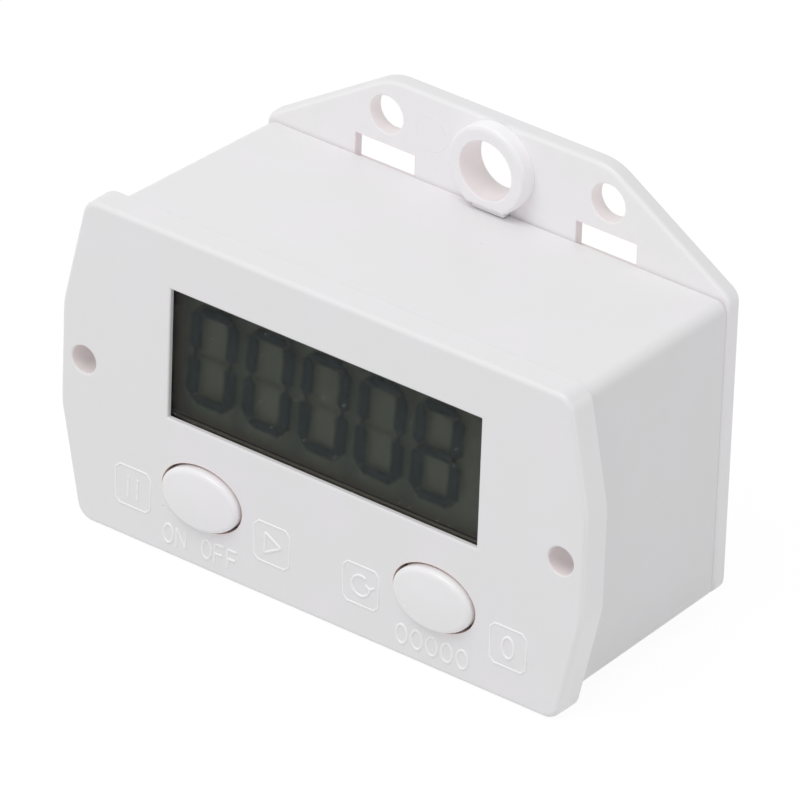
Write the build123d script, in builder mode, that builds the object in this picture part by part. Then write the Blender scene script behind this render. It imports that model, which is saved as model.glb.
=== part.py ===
"""Magnetic induction counter: an eared white case with a five digit display, two keys and a rear bracket.

The frame has +X to the right as the display is read, +Y towards the back and +Z up. The origin is under
the middle of the counter, level with the bottom edge of its flange. A depth is counted from the flange's
face towards the back, and a height from the middle of the case. All lengths are in millimetres.
"""
from build123d import *
import os
from math import isclose, radians, tan

os.makedirs("parts", exist_ok=True)

# General fits
overrun = 1.0
fit_gap = 0.3
seat_gap = 0.1
thread_gap = 0.05

# Walls of the front housing
wall = 2.0
front_wall = 2.0
case_side_inset = 0.75
case_end_inset = 0.25
case_back_drop = 0.2
case_edge_radius = 1.5
seam_edge_radius = 0.2
cavity_edge_radius = 0.8

# Flange and its ears
flange_thickness = 3.8
flange_rim = 1.3
flange_end_reach = 0.75
ear_reach = 3.65
ear_flat = 12.6
flange_corner_radius = 2.2
ear_blend_radius = 10.0
face_edge_radius = 0.6
flange_back_radius = 0.35
ear_hole_radius = 1.65
ear_hole_inset = 3.2
ear_hole_rim_radius = 0.25
ear_screw_relief = 3.0

# Display window and the layers behind it
window_width = 42.4
window_height = 16.0
window_sink = 0.6
window_shift = 0.33
window_rim_radius = 0.25
lens_thickness = 0.4
lens_lap = 1.3
polariser_thickness = 0.2
glass_thickness = 0.55
glass_side_lap = 1.6
glass_end_lap = 2.8
cell_thickness = 0.1
contact_ledge = 2.3
reflector_thickness = 0.3
display_pocket_gap = 0.2

# Digits of the display
digit_count = 5
digit_width = 6.5
digit_height = 12.1
digit_pitch = 7.72
digit_shift = -0.3
digit_drop = 0.1
digit_lean = 2.0
upright_width = 1.5
level_width = 1.25
segment_gap = 0.15

# Display frame and rubber contact strips
frame_side = 0.8
frame_rim = 0.5
frame_top_gap = 0.2
frame_window_inset = 3.0
strip_width = 1.8
strip_end_inset = 2.8
strip_gap = 0.1
peg_radius = 0.7
peg_spacing = 20.0
peg_gap = 0.1

# Keys
key_spacing = 32.0
key_shift = 0.2
key_hole_half_width = 5.6
key_hole_half_height = 3.95
key_hole_rim_radius = 0.15
key_gap = 0.3
key_rise = 1.2
key_dome_radius = 25.0
key_edge_radius = 0.6
key_lip_reach = 1.0
key_lip_thickness = 0.75
key_lip_gap = 0.15
key_wall = 1.0
key_pocket_depth = 1.4
key_post_radius = 1.5
key_floor_margin = 1.0
key_travel = 0.5
key_travel_margin = 0.4

# Push switches under the keys
switch_size = 6.0
switch_stand = 3.4
switch_cover_thickness = 0.2
plunger_radius = 1.75
plunger_foot_radius = 2.2
plunger_foot_thickness = 0.7
plunger_foot_gap = 0.1
switch_well_margin = 0.2
terminal_width = 0.7
terminal_thickness = 0.3
terminal_tail = 1.0
terminal_inset = 1.0

# Circuit board and what stands on its back
board_thickness = 1.6
board_side_gap = 1.2
board_end_gap = 0.8
board_hole_gap = 0.15
chip_radius = 4.5
chip_height = 1.6
chip_place_shares = (0.3, 0.45)
crystal_radius = 1.05
crystal_length = 6.0
crystal_lead_radius = 0.2
crystal_lead_length = 2.4
crystal_lead_pitch = 0.9
crystal_place_shares = (-0.3, 0.55)
smoother_radius = 2.0
smoother_length = 5.4
smoother_sleeve_edge = 0.3
smoother_place_x = 8.0
block_length = 2.0
block_width = 1.25
block_height = 1.1
block_place_shares = ((-0.1, 0.2), (-0.1, 0.75))
resistor_length = 1.6
resistor_width = 0.8
resistor_height = 0.5
resistor_pitch = 2.6
resistor_count = 5

# Board posts and screws
post_radius = 1.8
post_edge_margin = 1.34
post_place_share = 0.45
board_screw_radius = 0.85
board_screw_length = 5.0
board_screw_head_radius = 1.6
board_screw_head_height = 0.9
screw_slot_width = 0.45
screw_slot_depth = 0.4

# Sensor socket
socket_height = 5.0
socket_width = 6.0
socket_length = 11.9
socket_wall_gap = 0.6
socket_bore_radius = 1.8
socket_end_wall = 0.8
collar_radius = 2.8
collar_proud = 0.5
collar_gap = 0.2
spring_thickness = 0.25
spring_width = 2.4
spring_length = 6.5
spring_tail = 1.2

# Battery
cell_diameter = 14.5
cell_length = 50.5
cell_nub_radius = 2.75
cell_nub_length = 1.0
cell_cap_radius = 6.3
cell_cap_thickness = 0.4
cell_edge_radius = 0.5
cell_side_gap = 0.3
cell_back_gap = 0.5
contact_thickness = 0.4
contact_width = 9.4
contact_top_gap = 2.5
leaf_thickness = 0.3
leaf_bow = 3.9
leaf_half_span = 5.3
tail_width = 2.4
tail_reach = 1.2
tail_gap = 0.4
lead_radius = 0.4
lead_block_gap = 0.69
lead_bend_share = 0.42

# Battery tub, part of the rear cover
tub_wall = 1.0
tub_floor = 1.0
tub_side_gap = 0.9
cradle_thickness = 1.2
cradle_gap = 0.15
cradle_place_share = 0.5
cradle_height_share = 0.6

# Battery door and its hinge
door_thickness = 1.6
door_gap = 0.25
door_ledge = 1.1
door_end_ledge = 0.4
door_ledge_depth = 2.3
door_rim = 1.0
hinge_pin_radius = 0.45
hinge_pin_length = 0.6
hinge_pin_gap = 0.05
detent_length = 6.0
detent_height = 0.12
detent_place_share = 0.45
nail_notch_radius = 3.2
nail_notch_depth = 0.9
grip_count = 3
grip_width = 0.6
grip_depth = 0.35
grip_pitch = 1.5
grip_length = 14.0

# Rear cover and bracket
cover_thickness = 2.0
cover_proud = 0.2
cover_low_proud = 0.05
cover_front_edge_radius = 0.55
cover_back_edge_radius = 0.25
cover_bottom_radius = 1.9
shoulder_rise = 0.47
shoulder_radius = 2.0
bracket_top_inset = 0.18
bracket_top_radius = 6.5
bracket_hole_spacing = 30.3
bracket_hole_rise = 6.25
bracket_hole_radius = 2.25
hole_rim_radius = 0.2
slot_length = 8.24
slot_height = 3.23
slot_base_drop = 0.6
slot_relief_depth = 0.85
slot_relief_margin = 0.7
boss_radius = 5.25
boss_reach = 2.0
boss_rise = 5.5
boss_top_gap = 0.05
boss_flat_rise = 0.82
boss_foot_width = 4.2
boss_foot_gap = 0.15
boss_foot_inset = 0.8
boss_bore_radius = 3.5
boss_edge_radius = 0.5
boss_bore_rim_radius = 0.2
lip_depth = 1.4
lip_thickness = 1.0
lip_gap = 0.2

# Corner blocks and cover screws
corner_block = 5.06
cover_screw_radius = 1.1
cover_screw_length = 9.0
cover_screw_head_radius = 2.0
cover_screw_head_height = 1.2
cover_screw_sink = 1.3
cover_screw_hole_gap = 0.2
pilot_depth_gap = 1.0

# Depths of the layers, from the face to the back
lens_back = window_sink + lens_thickness
front_glass_front = lens_back + polariser_thickness
front_glass_back = front_glass_front + glass_thickness
rear_glass_front = front_glass_back + cell_thickness
rear_glass_back = rear_glass_front + glass_thickness
reflector_back = rear_glass_back + reflector_thickness
frame_front = max(front_wall, front_glass_back) + seat_gap
key_back = front_wall + key_lip_gap + key_lip_thickness
cover_front = key_back + key_travel + key_travel_margin
board_front = cover_front + switch_stand
board_back = board_front + board_thickness
socket_back = board_back + socket_height
tub_front = socket_back + fit_gap
tub_floor_back = tub_front + tub_floor
cell_depth = tub_floor_back + cell_side_gap + cell_diameter / 2
door_front = cell_depth + cell_diameter / 2 + cell_back_gap
overall_depth = door_front + door_thickness
case_back = overall_depth - cover_thickness
ledge_depth = door_front - seat_gap

# Widths and heights that follow from what the case holds
lens_width = window_width + 2 * lens_lap
lens_height = window_height + 2 * lens_lap
glass_width = window_width + 2 * glass_side_lap
glass_height = window_height + 2 * glass_end_lap
rear_glass_height = glass_height - 2 * contact_ledge
frame_width = glass_width + 2 * frame_side
frame_height = glass_height + 2 * frame_rim
strip_length = glass_width - 2 * strip_end_inset
cap_half_width = key_hole_half_width - key_gap
cap_half_height = key_hole_half_height - key_gap
key_lip_half_width = cap_half_width + key_lip_reach
key_lip_half_height = cap_half_height + key_lip_reach
tub_half_length = (cell_length + leaf_bow) / 2 + contact_thickness
tub_half_height = cell_diameter / 2 + cell_side_gap
tub_outer_half = tub_half_length + tub_wall
cavity_back_half_width = max(
    tub_outer_half + tub_side_gap,
    frame_width / 2 + fit_gap + corner_block,
    key_spacing / 2 + key_shift + key_lip_half_width + fit_gap + corner_block,
)
case_back_width = 2 * (cavity_back_half_width + wall)
case_width = case_back_width + 2 * case_side_inset
keys_height = fit_gap + 2 * key_lip_half_height + key_floor_margin
cavity_height = frame_top_gap + frame_height + keys_height
case_height = cavity_height + 2 * wall
case_back_height = case_height - 2 * case_end_inset
cavity_width = case_width - 2 * wall
cavity_back_half_height = case_back_height / 2 - wall
board_half_width = cavity_width / 2 - board_side_gap
board_half_height = cavity_height / 2 - board_end_gap
flange_height = case_height + 2 * flange_rim
flange_width = case_width + 2 * ear_reach
flange_end_width = case_width + 2 * flange_end_reach
ear_hole_spacing = flange_width - 2 * ear_hole_inset

# Heights of the display and the keys
window_z = cavity_height / 2 - frame_top_gap - frame_height / 2
digit_z = window_z - digit_drop
key_z = window_z - frame_height / 2 - fit_gap - key_lip_half_height
case_top = case_back_height / 2 - case_back_drop
case_bottom = -(case_back_height / 2 + case_back_drop)
post_z = post_place_share * cavity_back_half_height
post_x = board_half_width - post_edge_margin
block_x = cavity_back_half_width - corner_block / 2
block_z = cavity_back_half_height - corner_block / 2
tail_z = -(socket_width / 2 + tail_gap + tail_width / 2)
lead_end_z = -(cavity_back_half_height - corner_block - lead_block_gap - lead_radius)

# Where the origin lies
face_y = (key_rise - overall_depth) / 2
mid_z = flange_height / 2


def layer(depth):
    """Plane at a depth behind the face, seen from the front, with its middle on the case's middle."""
    return Plane(origin=(0, face_y + depth, mid_z), x_dir=(1, 0, 0), z_dir=(0, -1, 0))


def back_layer(depth):
    """The same plane seen from the back, for shapes that are alike on the left and the right."""
    return Plane(origin=(0, face_y + depth, mid_z), x_dir=(-1, 0, 0), z_dir=(0, 1, 0))


def side_layer(x, depth, height=0):
    """Plane square to X, with its x axis towards the back and its y axis up."""
    return Plane(origin=(x, face_y + depth, mid_z + height), x_dir=(0, 1, 0), z_dir=(1, 0, 0))


def both_sides(x, z):
    """Two places alike on the left and the right."""
    return [(-x, z), (x, z)]


def four_corners(x, z):
    """Four places alike in each corner."""
    return [(-x, -z), (x, -z), (-x, z), (x, z)]


def round_edges(builder, radius):
    """Edges of a part that are whole circles of one radius."""
    return [edge for edge in builder.edges().filter_by(GeomType.CIRCLE) if isclose(edge.radius, radius)]


def write(builder, name):
    """Label a finished sub-part and write it as its own STEP file."""
    builder.part.label = name
    export_step(builder.part, f"parts/{name}.step")


# Front housing
flange_right = [
    (flange_end_width / 2, flange_height / 2),
    (flange_width / 2, ear_flat / 2),
    (flange_width / 2, -ear_flat / 2),
    (flange_end_width / 2, -flange_height / 2),
]
flange_left = [(-x, z) for x, z in reversed(flange_right)]
flange_radii = [flange_corner_radius, ear_blend_radius, ear_blend_radius, flange_corner_radius] * 2
key_places = {"pause": key_shift - key_spacing / 2, "reset": key_shift + key_spacing / 2}
post_places = both_sides(post_x, post_z) + [(0, key_z)]
block_places = four_corners(block_x, block_z)
socket_depth = board_back + socket_height / 2

with BuildPart() as front_housing:
    with BuildSketch(layer(flange_thickness)):
        with BuildLine():
            FilletPolyline(*flange_right, *flange_left, radius=flange_radii, close=True)
        make_face()
    extrude(amount=flange_thickness)
    fillet(front_housing.faces().sort_by(Axis.Y)[0].edges(), radius=face_edge_radius)
    fillet(front_housing.faces().sort_by(Axis.Y)[-1].edges(), radius=flange_back_radius)
    # Case walls, which draw in towards the back, and the cavity
    with BuildSketch(back_layer(flange_thickness)):
        RectangleRounded(case_width, case_height, case_edge_radius)
    with BuildSketch(back_layer(case_back)):
        with Locations((0, -case_back_drop)):
            RectangleRounded(case_back_width, case_back_height, case_edge_radius)
    loft()
    fillet(front_housing.faces().sort_by(Axis.Y)[-1].edges(), radius=seam_edge_radius)
    with BuildSketch(back_layer(front_wall)):
        RectangleRounded(cavity_width, cavity_height, cavity_edge_radius)
    with BuildSketch(back_layer(case_back)):
        RectangleRounded(2 * cavity_back_half_width, 2 * cavity_back_half_height, cavity_edge_radius)
    loft(mode=Mode.SUBTRACT)
    # Corner blocks for the cover screws, run into the walls
    with BuildSketch(layer(case_back)):
        with Locations(*four_corners(block_x + wall / 4, block_z + wall / 4)):
            Rectangle(corner_block + wall / 2, corner_block + wall / 2)
    extrude(amount=case_back - front_wall / 2)
    with BuildSketch(layer(case_back)):
        with Locations(*block_places):
            Circle(cover_screw_radius + thread_gap)
    extrude(amount=cover_screw_length + pilot_depth_gap, mode=Mode.SUBTRACT)
    # Posts for the board
    with BuildSketch(layer(board_front)):
        with Locations(*post_places):
            Circle(post_radius)
    extrude(amount=board_front - front_wall / 2)
    with BuildSketch(layer(board_front)):
        with Locations(*post_places):
            Circle(board_screw_radius + thread_gap)
    extrude(amount=board_screw_length - board_thickness + pilot_depth_gap / 2, mode=Mode.SUBTRACT)
    # Window, with a pocket behind it for the lens and the front glass
    with BuildSketch(layer(front_wall)):
        with Locations((window_shift, window_z)):
            Rectangle(window_width, window_height)
    extrude(amount=front_wall + overrun, mode=Mode.SUBTRACT)
    fillet(front_housing.faces().sort_by(Axis.Y)[0].inner_wires()[0].edges(), radius=window_rim_radius)
    with BuildSketch(layer(front_wall)):
        with Locations((0, window_z)):
            Rectangle(glass_width + 2 * display_pocket_gap, glass_height + 2 * display_pocket_gap)
    extrude(amount=front_wall - window_sink, mode=Mode.SUBTRACT)
    # Key holes
    with BuildSketch(layer(front_wall)):
        with Locations(*[(x, key_z) for x in key_places.values()]):
            Ellipse(key_hole_half_width, key_hole_half_height)
    extrude(amount=front_wall + overrun, mode=Mode.SUBTRACT)
    key_hole_edges = front_housing.edges().filter_by(GeomType.ELLIPSE).group_by(Axis.Y)[0]
    fillet(key_hole_edges, radius=key_hole_rim_radius)
    # Ear holes, which run on as screw reliefs in the side walls, and the socket's hole
    with BuildSketch(layer(flange_thickness + ear_screw_relief)):
        with Locations(*both_sides(ear_hole_spacing / 2, 0)):
            Circle(ear_hole_radius)
    extrude(amount=flange_thickness + ear_screw_relief + overrun, mode=Mode.SUBTRACT)
    fillet(round_edges(front_housing, ear_hole_radius), radius=ear_hole_rim_radius)
    with BuildSketch(side_layer(-case_width / 2 - overrun, socket_depth)):
        Circle(collar_radius + collar_gap)
    extrude(amount=2 * wall + overrun, mode=Mode.SUBTRACT)
write(front_housing, "front_housing")

# Window lens, polariser, glasses and reflector, from front to back
plates = {
    "window_lens": (window_shift, lens_width, lens_height, lens_thickness, lens_back),
    "display_polariser": (0, glass_width, glass_height, polariser_thickness, front_glass_front),
    "display_front_glass": (0, glass_width, glass_height, glass_thickness, front_glass_back),
    "display_rear_glass": (0, glass_width, rear_glass_height, glass_thickness, rear_glass_back),
    "display_reflector": (0, glass_width, rear_glass_height, reflector_thickness, reflector_back),
}
for name, (x, width, height, thickness, depth) in plates.items():
    with BuildPart() as plate:
        with BuildSketch(layer(depth)):
            with Locations((x, window_z)):
                Rectangle(width, height)
        extrude(amount=thickness)
    write(plate, name)

# Display segments, in the liquid between the glasses
corner_x = (digit_width - upright_width) / 2
corner_z = (digit_height - level_width) / 2
level_heights = {"top": corner_z, "middle": 0, "bottom": -corner_z}
upright_places = [(side * corner_x, end * corner_z / 2) for side in (-1, 1) for end in (-1, 1)]


def bar(length, width):
    """One bar of a digit, its pointed ends a gap short of the corners that it runs between."""
    tip = length / 2 - segment_gap
    shoulder = tip - width / 2
    with BuildSketch(mode=Mode.PRIVATE) as outline:
        with BuildLine():
            Polyline(
                (-tip, 0), (-shoulder, width / 2), (shoulder, width / 2),
                (tip, 0), (shoulder, -width / 2), (-shoulder, -width / 2),
                close=True,
            )
        make_face()
    return outline.sketch


with BuildPart() as display_segments:
    with BuildSketch(layer(rear_glass_front)):
        for digit in range(digit_count):
            middle = digit_shift + (digit - (digit_count - 1) / 2) * digit_pitch
            is_last = digit == digit_count - 1
            for name, z in level_heights.items():
                if is_last or name != "middle":
                    with Locations((middle + z * tan(radians(digit_lean)), digit_z + z)):
                        add(bar(2 * corner_x, level_width))
            for x, z in upright_places:
                place = (middle + x + z * tan(radians(digit_lean)), digit_z + z)
                with Locations(Location(place, 90 - digit_lean)):
                    add(bar(corner_z, upright_width))
    extrude(amount=cell_thickness)
write(display_segments, "display_segments")

# Display frame
strip_z = glass_height / 2 - contact_ledge / 2
strip_places = {"upper": window_z + strip_z, "lower": window_z - strip_z}
peg_z = (rear_glass_height - frame_window_inset) / 2
peg_places = [(side * peg_spacing / 2, window_z + end * peg_z) for side in (-1, 1) for end in (-1, 1)]

with BuildPart() as display_frame:
    with BuildSketch(layer(board_front)):
        with Locations((0, window_z)):
            Rectangle(frame_width, frame_height)
            Rectangle(
                glass_width - 2 * frame_window_inset, rear_glass_height - 2 * frame_window_inset,
                mode=Mode.SUBTRACT,
            )
        with Locations(*[(0, z) for z in strip_places.values()]):
            Rectangle(strip_length + 2 * strip_gap, strip_width + 2 * strip_gap, mode=Mode.SUBTRACT)
    extrude(amount=board_front - frame_front)
    with BuildSketch(layer(reflector_back + thread_gap)):
        with Locations((0, window_z)):
            Rectangle(glass_width + display_pocket_gap, rear_glass_height + display_pocket_gap)
    extrude(amount=reflector_back, mode=Mode.SUBTRACT)
    with BuildSketch(layer(board_back - peg_gap)):
        with Locations(*peg_places):
            Circle(peg_radius)
    extrude(amount=board_thickness)
write(display_frame, "display_frame")

# Rubber contact strips between the front glass and the board
for place, height in strip_places.items():
    with BuildPart() as strip:
        with BuildSketch(layer(board_front)):
            with Locations((0, height)):
                Rectangle(strip_length, strip_width)
        extrude(amount=board_front - front_glass_back)
    write(strip, f"{place}_contact_strip")

# Key caps, each with a lip behind the front wall, a hollow back and a post that meets its switch
for name, x in key_places.items():
    with BuildPart() as key_cap:
        with BuildSketch(layer(key_back)):
            with Locations((x, key_z)):
                Ellipse(cap_half_width, cap_half_height)
        extrude(amount=key_back + key_rise + overrun)
        with Locations((x, face_y - key_rise + key_dome_radius, mid_z + key_z)):
            Sphere(key_dome_radius, mode=Mode.INTERSECT)
        fillet(key_cap.faces().sort_by(Axis.Y)[0].edges(), radius=key_edge_radius)
        with BuildSketch(layer(key_back)):
            with Locations((x, key_z)):
                Ellipse(key_lip_half_width, key_lip_half_height)
        extrude(amount=key_lip_thickness)
        with BuildSketch(layer(key_back)):
            with Locations((x, key_z)):
                Ellipse(cap_half_width - key_wall, cap_half_height - key_wall)
                Circle(key_post_radius, mode=Mode.SUBTRACT)
        extrude(amount=key_pocket_depth, mode=Mode.SUBTRACT)
    write(key_cap, f"{name}_key_cap")

# Push switches: base, pressed metal cover and plunger under each key
base_front = cover_front + switch_cover_thickness
foot_front = base_front + plunger_foot_gap
well_back = foot_front + plunger_foot_thickness + key_travel + switch_well_margin
terminal_x = switch_size / 2 + terminal_thickness / 2
terminal_z = switch_size / 2 - terminal_inset
terminal_front = (base_front + board_front) / 2
for name, x in key_places.items():
    with BuildPart() as switch_base:
        with BuildSketch(layer(board_front)):
            with Locations((x, key_z)):
                Rectangle(switch_size, switch_size)
        extrude(amount=board_front - base_front)
        with BuildSketch(layer(well_back)):
            with Locations((x, key_z)):
                Circle(plunger_foot_radius + seat_gap)
        extrude(amount=well_back - base_front, mode=Mode.SUBTRACT)
    write(switch_base, f"{name}_switch_base")

    with BuildPart() as switch_cover:
        with BuildSketch(layer(base_front)):
            with Locations((x, key_z)):
                Rectangle(switch_size, switch_size)
                Circle(plunger_radius + seat_gap, mode=Mode.SUBTRACT)
        extrude(amount=switch_cover_thickness)
    write(switch_cover, f"{name}_switch_cover")

    with BuildPart() as plunger:
        with BuildSketch(layer(foot_front)):
            with Locations((x, key_z)):
                Circle(plunger_radius)
        extrude(amount=foot_front - key_back)
        with BuildSketch(layer(foot_front + plunger_foot_thickness)):
            with Locations((x, key_z)):
                Circle(plunger_foot_radius)
        extrude(amount=plunger_foot_thickness)
    write(plunger, f"{name}_switch_plunger")

terminal_places = [
    (x + side * terminal_x, key_z + end * terminal_z)
    for x in key_places.values() for side in (-1, 1) for end in (-1, 1)
]
with BuildPart() as switch_terminals:
    with BuildSketch(layer(board_back + terminal_tail)):
        with Locations(*terminal_places):
            Rectangle(terminal_thickness, terminal_width)
    extrude(amount=board_back + terminal_tail - terminal_front)
write(switch_terminals, "switch_terminals")

# Sensor socket: body, collar through the side wall, and two springs with tails in the board
socket_left = -(case_width / 2 - wall - socket_wall_gap)
spring_start = socket_left + (socket_length - spring_length) / 2
spring_z = socket_bore_radius + spring_thickness / 2 + thread_gap
tail_x = spring_start + spring_length - spring_width / 2
wall_outside = -(case_width / 2)
bore_depth = socket_length - socket_end_wall

with BuildPart() as socket_body:
    with BuildSketch(side_layer(socket_left, socket_depth)):
        Rectangle(socket_height, socket_width)
        Circle(socket_bore_radius, mode=Mode.SUBTRACT)
    extrude(amount=bore_depth)
    with BuildSketch(side_layer(socket_left + bore_depth, socket_depth)):
        Rectangle(socket_height, socket_width)
    extrude(amount=socket_end_wall)
    with BuildSketch(layer(socket_depth + spring_width / 2 + thread_gap)):
        with Locations(*[(spring_start + spring_length / 2, end * spring_z) for end in (-1, 1)]):
            Rectangle(spring_length + 2 * seat_gap, spring_thickness + 2 * thread_gap)
    extrude(amount=socket_height + overrun, mode=Mode.SUBTRACT)
write(socket_body, "socket_body")

with BuildPart() as socket_collar:
    with BuildSketch(side_layer(wall_outside - collar_proud, socket_depth)):
        Circle(collar_radius)
        Circle(socket_bore_radius, mode=Mode.SUBTRACT)
    extrude(amount=socket_left - wall_outside + collar_proud)
    chamfer(socket_collar.faces().sort_by(Axis.X)[0].edges(), length=collar_proud / 2)
write(socket_collar, "socket_collar")

with BuildPart() as socket_springs:
    with BuildSketch(layer(socket_depth + spring_width / 2)):
        with Locations(*[(spring_start + spring_length / 2, end * spring_z) for end in (-1, 1)]):
            Rectangle(spring_length, spring_thickness)
    extrude(amount=spring_width)
    with BuildSketch(layer(socket_depth)):
        with Locations(*[(tail_x, end * spring_z) for end in (-1, 1)]):
            Rectangle(spring_width / 2, spring_thickness)
    extrude(amount=socket_depth - board_back + spring_tail)
write(socket_springs, "socket_springs")

# Main board, notched round the corner blocks
notch_x = board_half_width - cavity_back_half_width + corner_block + fit_gap
notch_z = board_half_height - cavity_back_half_height + corner_block + fit_gap
notch_places = four_corners(board_half_width - notch_x / 2, board_half_height - notch_z / 2)

with BuildPart() as main_board:
    with BuildSketch(layer(board_back)):
        Rectangle(2 * board_half_width, 2 * board_half_height)
        with Locations(*notch_places):
            Rectangle(notch_x, notch_z, mode=Mode.SUBTRACT)
        with Locations(*post_places):
            Circle(board_screw_radius + board_hole_gap, mode=Mode.SUBTRACT)
        with Locations(*peg_places):
            Circle(peg_radius + board_hole_gap, mode=Mode.SUBTRACT)
        with Locations(*terminal_places):
            Rectangle(
                terminal_thickness + 2 * board_hole_gap, terminal_width + 2 * board_hole_gap,
                mode=Mode.SUBTRACT,
            )
        with Locations(*[(tail_x, end * spring_z) for end in (-1, 1)]):
            Rectangle(
                spring_width / 2 + 2 * board_hole_gap, spring_thickness + 2 * board_hole_gap,
                mode=Mode.SUBTRACT,
            )
    extrude(amount=board_thickness)
write(main_board, "main_board")

# Counter chip under its drop of resin, a slice of a ball
chip_ball_radius = (chip_radius**2 + chip_height**2) / (2 * chip_height)
chip_x = board_half_width * chip_place_shares[0]
chip_z = board_half_height * chip_place_shares[1]
chip_ball_y = face_y + board_back + chip_height - chip_ball_radius
with BuildPart() as counter_chip:
    with BuildSketch(layer(board_back + chip_height)):
        with Locations((chip_x, chip_z)):
            Circle(chip_radius)
    extrude(amount=chip_height)
    with Locations((chip_x, chip_ball_y, mid_z + chip_z)):
        Sphere(chip_ball_radius, mode=Mode.INTERSECT)
write(counter_chip, "counter_chip")

# Timing crystal, lying on the board with its two leads
crystal_x = board_half_width * crystal_place_shares[0]
crystal_z = board_half_height * crystal_place_shares[1]
crystal_depth = board_back + crystal_radius
with BuildPart() as timing_crystal:
    with BuildSketch(side_layer(crystal_x, crystal_depth, crystal_z)):
        Circle(crystal_radius)
    extrude(amount=crystal_length)
    fillet(timing_crystal.faces().sort_by(Axis.X)[-1].edges(), radius=crystal_radius / 4)
    with BuildSketch(side_layer(crystal_x, crystal_depth, crystal_z)):
        with Locations((0, -crystal_lead_pitch / 2), (0, crystal_lead_pitch / 2)):
            Circle(crystal_lead_radius)
    extrude(amount=-crystal_lead_length)
write(timing_crystal, "timing_crystal")

# Smoothing capacitor, standing on the board below the battery
smoother_z = -(tub_half_height + tub_wall + fit_gap + smoother_radius)
with BuildPart() as smoothing_capacitor:
    with BuildSketch(layer(board_back + smoother_length)):
        with Locations((smoother_place_x, smoother_z)):
            Circle(smoother_radius)
    extrude(amount=smoother_length)
    fillet(smoothing_capacitor.faces().sort_by(Axis.Y)[-1].edges(), radius=smoother_sleeve_edge)
write(smoothing_capacitor, "smoothing_capacitor")

# Small capacitors and resistors, groups of alike blocks
ceramic_places = [(board_half_width * x, board_half_height * z) for x, z in block_place_shares]
with BuildPart() as ceramic_capacitors:
    with BuildSketch(layer(board_back + block_height)):
        with Locations(*ceramic_places):
            Rectangle(block_length, block_width)
    extrude(amount=block_height)
write(ceramic_capacitors, "ceramic_capacitors")

resistor_places = [
    ((index - (resistor_count - 1) / 2) * resistor_pitch, 0) for index in range(resistor_count)
]
with BuildPart() as chip_resistors:
    with BuildSketch(layer(board_back + resistor_height)):
        with Locations(*resistor_places):
            Rectangle(resistor_width, resistor_length)
    extrude(amount=resistor_height)
write(chip_resistors, "chip_resistors")


def cross_slot(radius):
    """Cross recess of a screw head."""
    with BuildSketch(mode=Mode.PRIVATE) as cross:
        Rectangle(radius, screw_slot_width)
        Rectangle(screw_slot_width, radius)
    return cross.sketch


# Board screws, driven from the back into the housing's posts
with BuildPart() as board_screws:
    with BuildSketch(layer(board_back)):
        with Locations(*post_places):
            Circle(board_screw_radius)
    extrude(amount=board_screw_length)
    with BuildSketch(layer(board_back + board_screw_head_height)):
        with Locations(*post_places):
            Circle(board_screw_head_radius)
    extrude(amount=board_screw_head_height)
    with BuildSketch(layer(board_back + board_screw_head_height)):
        with Locations(*post_places):
            add(cross_slot(board_screw_head_radius))
    extrude(amount=screw_slot_depth, mode=Mode.SUBTRACT)
write(board_screws, "board_screws")

# Rear cover: plate and bracket, boss, battery tub and locating lip
cover_half_width = case_back_width / 2 + cover_proud
cover_bottom = case_bottom - cover_low_proud
shoulder_z = case_top + shoulder_rise
bracket_top = case_top + boss_rise + boss_radius + boss_top_gap
bracket_top_half_width = (bracket_hole_spacing - bracket_top_inset) / 2
cover_right = [
    (bracket_top_half_width, bracket_top),
    (cover_half_width, shoulder_z),
    (cover_half_width, cover_bottom),
]
cover_left = [(-x, z) for x, z in reversed(cover_right)]
cover_radii = [bracket_top_radius, shoulder_radius, cover_bottom_radius]
bracket_hole_z = case_top + bracket_hole_rise
slot_z = case_top - slot_base_drop + slot_height / 2
boss_z = case_top + boss_rise
boss_flat_z = case_top + boss_flat_rise
opening_half_length = tub_half_length + door_end_ledge
opening_half_height = tub_half_height + door_ledge
lip_half_width = cavity_back_half_width - lip_gap
lip_half_height = cavity_back_half_height - lip_gap
hinge_depth = overall_depth - door_thickness / 2
hinge_z = -(opening_half_height - door_gap - door_thickness / 2)
door_half_length = opening_half_length - door_gap
cradle_x = cradle_place_share * cell_length / 2
cradle_height = cradle_height_share * cell_diameter / 2
nail_notch_z = opening_half_height
contact_inner = tub_half_length - contact_thickness

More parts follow.
